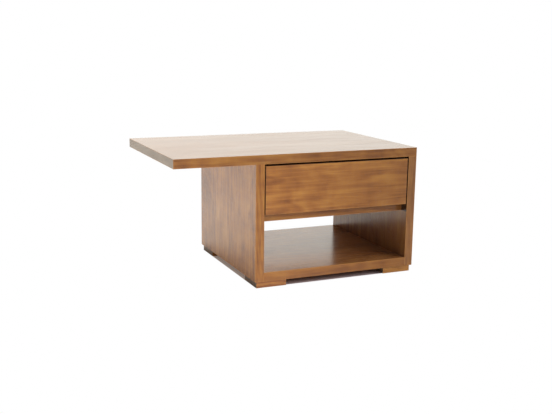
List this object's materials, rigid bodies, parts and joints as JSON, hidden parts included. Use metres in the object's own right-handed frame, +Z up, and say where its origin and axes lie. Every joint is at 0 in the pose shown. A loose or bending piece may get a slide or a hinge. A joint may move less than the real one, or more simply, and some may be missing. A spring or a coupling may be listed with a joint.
{
  "type": "bedside cabinet",
  "caption": "Low wooden bedside cabinet with an inset drawer over an open shelf, flat block feet and a top that overhangs the body on the left.",
  "frame": {"origin": "on the floor, under the middle of the top panel", "axes": "+X to the cabinet's right seen from the front, along the top's length; -Y is the front, towards which the drawer opens; +Z up"},
  "size_m": [0.8, 0.5, 0.405],
  "materials": {
    "stained_veneer": "medium brown stained wood under a satin to gloss lacquer",
    "back_veneer": "the same stain on a thin panel, duller",
    "drawer_wood": "pale clear-coated wood",
    "drawer_plywood": "pale plywood with a thin clear coat",
    "dowel_wood": "raw beech",
    "slide_steel": "bright zinc plate",
    "screw_steel": "zinc plate"
  },
  "bodies": {
    "carcass": {"top_panel": "stained_veneer", "side_panel_left": "stained_veneer", "side_panel_right": "stained_veneer", "bottom_panel": "stained_veneer", "divider_panel": "stained_veneer", "back_panel": "back_veneer", "foot_front_left": "stained_veneer", "foot_front_right": "stained_veneer", "foot_rear_left": "stained_veneer", "foot_rear_right": "stained_veneer", "dowel_top_left_front": "dowel_wood", "dowel_top_left_back": "dowel_wood", "dowel_top_right_front": "dowel_wood", "dowel_top_right_back": "dowel_wood", "dowel_bottom_left_front": "dowel_wood", "dowel_bottom_left_back": "dowel_wood", "dowel_bottom_right_front": "dowel_wood", "dowel_bottom_right_back": "dowel_wood", "dowel_divider_left_front": "dowel_wood", "dowel_divider_left_back": "dowel_wood", "dowel_divider_right_front": "dowel_wood", "dowel_divider_right_back": "dowel_wood", "foot_screw_front_left": "screw_steel", "foot_screw_front_right": "screw_steel", "foot_screw_rear_left": "screw_steel", "foot_screw_rear_right": "screw_steel", "back_screw_upper_left": "screw_steel", "back_screw_upper_middle": "screw_steel", "back_screw_upper_right": "screw_steel", "back_screw_lower_left": "screw_steel", "back_screw_lower_middle": "screw_steel", "back_screw_lower_right": "screw_steel", "slide_cabinet_member_left": "slide_steel", "slide_cabinet_member_right": "slide_steel", "slide_cabinet_screw_left_front": "screw_steel", "slide_cabinet_screw_left_back": "screw_steel", "slide_cabinet_screw_right_front": "screw_steel", "slide_cabinet_screw_right_back": "screw_steel"},
    "drawer": {"drawer_front": "stained_veneer", "drawer_box_front": "drawer_wood", "drawer_side_left": "drawer_wood", "drawer_side_right": "drawer_wood", "drawer_back": "drawer_wood", "drawer_bottom": "drawer_plywood", "drawer_front_screw_lower_left": "screw_steel", "drawer_front_screw_lower_right": "screw_steel", "drawer_front_screw_upper_left": "screw_steel", "drawer_front_screw_upper_right": "screw_steel", "slide_drawer_member_left": "slide_steel", "slide_drawer_member_right": "slide_steel", "slide_drawer_screw_left_front": "screw_steel", "slide_drawer_screw_left_back": "screw_steel", "slide_drawer_screw_right_front": "screw_steel", "slide_drawer_screw_right_back": "screw_steel"},
    "slide_middle_left": {"slide_middle_member_left": "slide_steel"},
    "slide_outer_cage_body_left": {"slide_outer_cage_left": "slide_steel"},
    "slide_inner_cage_body_left": {"slide_inner_cage_left": "slide_steel"},
    "slide_middle_right": {"slide_middle_member_right": "slide_steel"},
    "slide_outer_cage_body_right": {"slide_outer_cage_right": "slide_steel"},
    "slide_inner_cage_body_right": {"slide_inner_cage_right": "slide_steel"}
  },
  "joints": [
    {"name": "drawer_slide", "type": "slide", "parent": "carcass", "child": "drawer", "axis": [0, -1, 0], "range_m": [0, 0.45]},
    {"name": "middle_member_travel_left", "type": "slide", "parent": "carcass", "child": "slide_middle_left", "axis": [0, -1, 0], "range_m": [0, 0.225]},
    {"name": "outer_cage_travel_left", "type": "slide", "parent": "carcass", "child": "slide_outer_cage_body_left", "axis": [0, -1, 0], "range_m": [0, 0.1125]},
    {"name": "inner_cage_travel_left", "type": "slide", "parent": "carcass", "child": "slide_inner_cage_body_left", "axis": [0, -1, 0], "range_m": [0, 0.3375]},
    {"name": "middle_member_travel_right", "type": "slide", "parent": "carcass", "child": "slide_middle_right", "axis": [0, -1, 0], "range_m": [0, 0.225]},
    {"name": "outer_cage_travel_right", "type": "slide", "parent": "carcass", "child": "slide_outer_cage_body_right", "axis": [0, -1, 0], "range_m": [0, 0.1125]},
    {"name": "inner_cage_travel_right", "type": "slide", "parent": "carcass", "child": "slide_inner_cage_body_right", "axis": [0, -1, 0], "range_m": [0, 0.3375]}
  ],
  "couplings": [
    {"joint": "middle_member_travel_left", "follows": "drawer_slide", "ratio": 0.5},
    {"joint": "outer_cage_travel_left", "follows": "drawer_slide", "ratio": 0.25},
    {"joint": "inner_cage_travel_left", "follows": "drawer_slide", "ratio": 0.75},
    {"joint": "middle_member_travel_right", "follows": "drawer_slide", "ratio": 0.5},
    {"joint": "outer_cage_travel_right", "follows": "drawer_slide", "ratio": 0.25},
    {"joint": "inner_cage_travel_right", "follows": "drawer_slide", "ratio": 0.75}
  ]
}
